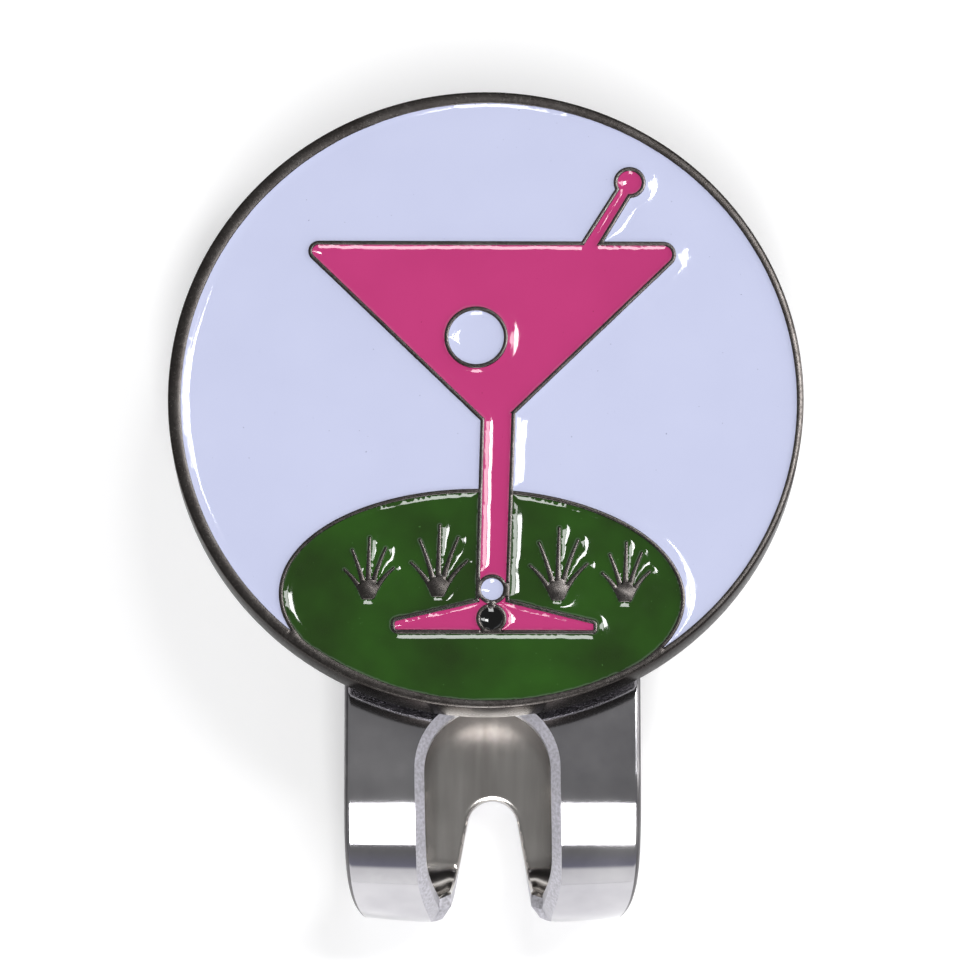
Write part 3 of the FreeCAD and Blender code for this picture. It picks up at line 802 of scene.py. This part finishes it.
# The bend is two arcs that meet at the hinge line: the rear leg's, then the front plate's. Each ends
# at its FLAT, a length along the strip's middle line. BEND is an outer radius and MID a middle one.
MAGNET_MIDDLE, MAGNET_RADIUS = disc_of("magnet")
PIVOT = np.array(joint("jaw_flex")["pos_m"]) / MM
PLATE_TOP = reach("clip_front_plate", OUT)[1]
REAR_BEND = PIVOT[2]
FRONT_BEND = (PLATE_TOP - PIVOT @ OUT) / (1 + OUT[1])
FRONT_TURN = math.pi / 2 + math.asin(OUT[1])
REAR_CENTRE = PIVOT + (0, REAR_BEND, 0)
FRONT_CENTRE = PIVOT + (0, FRONT_BEND, 0)
REAR_MID = REAR_BEND - THICK / 2
FRONT_MID = FRONT_BEND - THICK / 2
REAR_FLAT = -REAR_MID * math.pi / 2
FRONT_FLAT = FRONT_MID * FRONT_TURN
HALF_WIDTH = reach("clip_front_plate", ACROSS)[1]
PLATE_TIP = reach("clip_front_plate", ALONG)[1]
LEG_TIP = reach("clip_rear_leg", np.array((0.0, 1.0, 0.0)))[1]

# The slot's half width at each leg's gauge line, under the bend. Each arch is (radius, its middle's
# position), and positions are along the arch's own leg.
SLOT_HALF = 1.75
ARCH_TO_MAGNET = 14.35
FRONT_ARCH = (2.5, MAGNET_MIDDLE[1] - ARCH_TO_MAGNET)
FRONT_GAUGE = FRONT_CENTRE @ ALONG - FRONT_BEND
FRONT_FOOT = FRONT_GAUGE + math.sqrt(FRONT_ARCH[0]**2 - SLOT_HALF**2)
REAR_ARCH = (1.0, -16.2)
REAR_GAUGE = REAR_CENTRE[1] - REAR_BEND


def strip_line(s):
    """The strip's middle line at each length s from the hinge line, and the outward direction there."""
    s = np.asarray(s, float)[:, None]
    rear = np.clip(-s / REAR_MID, 0, math.pi / 2)
    front = np.clip(s / FRONT_MID, 0, FRONT_TURN)
    turn = np.where(s < 0, -rear, front)
    outward = np.concatenate((0 * s, -np.cos(turn), np.sin(turn)), axis=1)
    at_rear = REAR_CENTRE + outward * REAR_MID + np.maximum(REAR_FLAT - s, 0) * (0, 1, 0)
    at_front = FRONT_CENTRE + outward * FRONT_MID + np.maximum(s - FRONT_FLAT, 0) * ALONG
    return np.where(s < 0, at_rear, at_front), outward


def on_strip(points):
    """CAD-frame points, in metres, of strip coordinates.

    In the bend the strip's outer edges are drawn in, and both they and the slot's fall away a little,
    as bent metal's do. The squared share puts most of that near the hinge line, past the bend's middle.
    """
    x, s, h = points.T[:, :, None]
    line, outward = strip_line(points[:, 1])
    bend_share = np.clip((FRONT_FLAT - s) / (FRONT_FLAT - REAR_FLAT), 0, 1)
    shaping = np.sin(bend_share**2 * math.pi) ** 2
    near_edge = np.clip(np.abs(x) / HALF_WIDTH, 0, 1) ** 2
    near_slot = np.clip(1 - (np.abs(x) - SLOT_HALF) / SLOT_FALL_WIDTH, 0, 1) ** 2
    h = h - shaping * (EDGE_FALL * near_edge + SLOT_FALL * near_slot)
    x = x - np.sign(x) * EDGE_DRAW * shaping * near_edge
    return (line + x * ACROSS + h * outward) * MM


def front_half_width(position):
    """Half the oval slot's width at a position along the plate, below its arch."""
    return math.sqrt(FRONT_ARCH[0]**2 - max(FRONT_FOOT - position, 0)**2)


def rear_touch_turn():
    """Where the rear slot's straight side touches its arch, as an angle from straight across."""
    radius, middle = REAR_ARCH
    below = REAR_GAUGE - middle
    return math.atan2(below, SLOT_HALF) + math.acos(radius / math.hypot(SLOT_HALF, below))


def rear_half_width(position):
    """Half the rear slot's width at a position along the leg, below its arch."""
    radius, middle = REAR_ARCH
    turn = rear_touch_turn()
    touch = (radius * math.cos(turn), middle + radius * math.sin(turn))
    share = (position - REAR_GAUGE) / (touch[1] - REAR_GAUGE)
    return SLOT_HALF + (touch[0] - SLOT_HALF) * share


def slot_loop(pitch=0.1):
    """The slot's outline in x and s, clockwise: front arch, bend, rear arch, and back."""
    front_radius, front_middle = FRONT_ARCH
    rear_radius, rear_middle = REAR_ARCH
    front_start = FRONT_FLAT - FRONT_CENTRE @ ALONG + front_middle
    rear_start = REAR_FLAT + REAR_CENTRE[1] - rear_middle
    touch_turn = rear_touch_turn()
    rear_touch = rear_start - rear_radius * math.sin(touch_turn)

    def arch(radius, middle, way, first, last):
        turns = np.linspace(first, last, 1 + int(radius * abs(last - first) / pitch))
        return [(radius * math.cos(turn), middle + way * radius * math.sin(turn)) for turn in turns]

    right = arch(front_radius, front_start, 1, math.pi / 2, 0)
    lengths = np.linspace(front_start, rear_touch, int((front_start - rear_touch) / pitch))
    for s, middle in list(zip(lengths, strip_line(lengths)[0]))[1:-1]:
        half_width = front_half_width(middle @ ALONG) if s > 0 else rear_half_width(middle[1])
        right.append((half_width, s))
    right += arch(rear_radius, rear_start, -1, touch_turn, math.pi / 2)
    right = np.array(right)
    left = right[::-1][1:-1] * (-1, 1)
    loop = np.concatenate((right, left))
    loop[:, 0] -= SLOT_LEFT * np.clip((loop[:, 1] - REAR_FLAT) / (FRONT_FLAT - REAR_FLAT), 0, 1)
    return loop


def strip_outline(pitch=0.15):
    """The strip's flat outline, anticlockwise, with its two rounded tips."""
    front_end = FRONT_FLAT + PLATE_TIP - FRONT_CENTRE @ ALONG
    rear_end = REAR_FLAT + REAR_CENTRE[1] - LEG_TIP
    inset = HALF_WIDTH - TIP_ROUND
    right = []
    turns = np.linspace(-math.pi / 2, 0, int(TIP_ROUND * math.pi / 2 / pitch))
    for turn in turns:
        right.append((inset + TIP_ROUND * math.cos(turn), rear_end + TIP_ROUND * (1 + math.sin(turn))))
    low, high = rear_end + TIP_ROUND, front_end - TIP_ROUND
    for s in np.linspace(low, high, int((high - low) / pitch))[1:-1]:
        right.append((HALF_WIDTH, s))
    for turn in turns + math.pi / 2:
        right.append((inset + TIP_ROUND * math.cos(turn), front_end - TIP_ROUND * (1 - math.sin(turn))))
    right = np.array(right)
    return np.concatenate((right, right[::-1] * (-1, 1)))


BLEND_WAY = unit((0, 0.03, 1)) * 0.45


def clip_strip():
    """The bent strip in one piece, from the rear leg's tip round the bend to the plate's tip."""
    outline = strip_outline()
    slot = slot_loop()
    seat_depth = PLATE_TOP - reach("magnet_adhesive", OUT)[0]
    seat_middle = MAGNET_MIDDLE[1] + FRONT_FLAT - FRONT_CENTRE @ ALONG
    seat = circle(MAGNET_RADIUS + SEAT_ROOM, DISC_COUNT, (0, seat_middle))
    gaps, drop = edge_round(EDGE_ROUND, EDGE_STEPS)
    outer = Fill([outline, slot, seat[::-1]], (*gaps, *FLAT_ROWS), STRIP_GRID)
    inner = Fill([outline, slot], (*gaps, *FLAT_ROWS), STRIP_GRID)
    edges = len(outline) + len(slot)
    solid = Solid()
    rolled = np.clip(ROLLED_WIDTH - outer.gap, 0, ROLLED_WIDTH) * ROLLED_SLOPE
    heights = THICK / 2 - np.choose(outer.owner, (drop(outer.gap), rolled, 0 * rolled))
    face = solid.sheet(outer, heights)
    is_rolled = (outer.owner == 1) & (outer.gap < ROLLED_WIDTH - ROW_MARGIN)
    is_rounded = (outer.owner == 0) & (outer.gap < EDGE_ROUND - ROW_MARGIN)
    sheared = [number for number, corners in enumerate(outer.faces) if is_rolled[corners].any()]
    # The rounded outer edges, the outline's wall and the plate's underside get the dark painted nickel:
    # painted shade.
    painted_dark_faces = [number for number, corners in enumerate(outer.faces) if is_rounded[corners].any()]
    back = solid.sheet(inner, drop(inner.gap) - THICK / 2, flip=True)
    first_wall = len(solid.faces)
    inside = range(len(outer.faces), first_wall)
    painted_dark_faces += [inside[number] for number, corners in enumerate(inner.faces)
             if inner.points[corners, 1].min() > FRONT_FLAT]
    solid.band(face, back, len(outline))
    slot_wall = len(solid.faces)
    painted_dark_faces += range(first_wall, slot_wall)
    solid.band(face + len(outline), back + len(outline), len(slot))
    sheared += range(slot_wall, len(solid.faces))
    seat_floor = Fill([seat], (), SEAT_GRID)
    ground = solid.sheet(seat_floor, np.full(len(seat_floor.points), THICK / 2 - seat_depth))
    seat_top = face + edges + DISC_COUNT - 1
    for i in range(DISC_COUNT):
        j = (i + 1) % DISC_COUNT
        solid.faces.append((seat_top - j, ground + j, ground + i, seat_top - i))
    made = solid.piece("bent_strip", on_strip, strip_nickel(), sharp=30, flats=True)
    paint_faces(made, sheared_nickel(), sheared)
    paint_faces(made, inside_nickel(), inside)
    paint_faces(made, dull_nickel_painted_dark(), painted_dark_faces)
    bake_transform(made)
    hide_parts("clip_rear_leg", "clip_front_plate")


clip_strip()

# ---------------------------------------------------------------- floor, light and camera

# The camera's height as an angle, its distance, the width that it sees, and how far below the
# face's centre it points.
VIEW_ELEVATION = math.radians(84.5)
VIEW_DISTANCE = 275.0
VIEW_WIDTH = 38.54
VIEW_DROP = 3.52
SENSOR = 36.0
NEAREST = 0.01
FLOOR_SIZE = 3000.0
LIGHT_DISTANCE = 700.0
FACE_CENTRE = on_marker([(0.07, -0.07, 0)])[0]


def floor():
    """A plain pale floor under the clip's back, lit a little from below."""
    mesh = bpy.data.meshes.new("floor")
    half = FLOOR_SIZE / 2 * MM
    corners = [(-half, -half, 0), (half, -half, 0), (half, half, 0), (-half, half, 0)]
    mesh.from_pydata(corners, [], [(0, 1, 2, 3)])
    material, tree, shader, place = start_material(
        "pale_floor", Roughness=0.6, Emission_Color=(1, 1, 1, 1), Emission_Strength=0.2)
    shade = ramp(tree, grain(tree, place, 40.0, 2), (0.3, 0.88), (0.7, 0.90))
    tree.links.new(shade, shader.inputs["Base Color"])
    mesh.materials.append(material)
    made = bpy.data.objects.new("floor", mesh)
    bpy.context.scene.collection.objects.link(made)
    made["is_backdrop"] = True


def softbox(name, to_front, to_right, height, width, radiance):
    """A rectangular light.

    Its place and size are angles in degrees, seen from the marker: how far its middle is to the front
    and to the right of straight out of the face, then how high and how wide it looks.
    """
    front, right = math.radians(to_front), math.radians(to_right)
    way = Vector(OUT * math.cos(front) * math.cos(right) - ALONG * math.sin(front) * math.cos(right)
                 + ACROSS * math.sin(right))
    light = bpy.data.lights.new(name, "AREA")
    light.shape = "RECTANGLE"
    light.size = 2 * LIGHT_DISTANCE * MM * math.tan(math.radians(width / 2))
    light.size_y = 2 * LIGHT_DISTANCE * MM * math.tan(math.radians(height / 2))
    light.energy = radiance * math.pi * light.size * light.size_y
    made = bpy.data.objects.new(name, light)
    up = (Vector(ALONG) - way * way.dot(Vector(ALONG))).normalized()
    right_way = up.cross(way)
    made.matrix_world = Matrix((right_way, up, way)).transposed().to_4x4()
    made.location = Vector(FACE_CENTRE) + way * LIGHT_DISTANCE * MM
    bpy.context.scene.collection.objects.link(made)


def room():
    """Dim above, and bright round the horizon."""
    world = bpy.data.worlds.new("room")
    bpy.context.scene.world = world
    world.use_nodes = True
    tree = world.node_tree
    way = node(tree, "SeparateXYZ", Vector=node(tree, "TexCoord").outputs["Generated"])
    shade = ramp(tree, way.outputs["Z"], (0.0, 1.1), (0.3, 0.95), (0.36, (0.25, 0.25, 0.31)), (0.6, 0.22))
    tree.links.new(shade, tree.nodes["Background"].inputs["Color"])
    tree.nodes["Background"].inputs["Strength"].default_value = 1.0


def camera():
    """The camera, above the marker and a little towards the clip's bend."""
    back = Vector((0, -math.cos(VIEW_ELEVATION), math.sin(VIEW_ELEVATION)))
    up = Vector((0, math.sin(VIEW_ELEVATION), math.cos(VIEW_ELEVATION)))
    data = bpy.data.cameras.new("camera")
    data.sensor_width = SENSOR
    data.lens = SENSOR * VIEW_DISTANCE / VIEW_WIDTH
    data.clip_start = NEAREST
    made = bpy.data.objects.new("camera", data)
    made.matrix_world = Matrix((Vector(ACROSS), up, back)).transposed().to_4x4()
    made.location = Vector(FACE_CENTRE) + (back * VIEW_DISTANCE - up * VIEW_DROP) * MM
    bpy.context.scene.collection.objects.link(made)
    bpy.context.scene.camera = made


floor()
softbox("front_softbox", 35.5, 0, 38, 16, 10.0)
softbox("right_strip", -14.8, 12, 6, 10, 24.0)
softbox("right_softbox", -17.5, 36.5, 11, 35, 9.0)
room()
camera()
bpy.context.scene.view_settings.view_transform = "Standard"

# ---------------------------------------------------------------- sizes, and the end

lists = [[list(map(float, corner)) for corner in box] for box in (cad_box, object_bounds())]
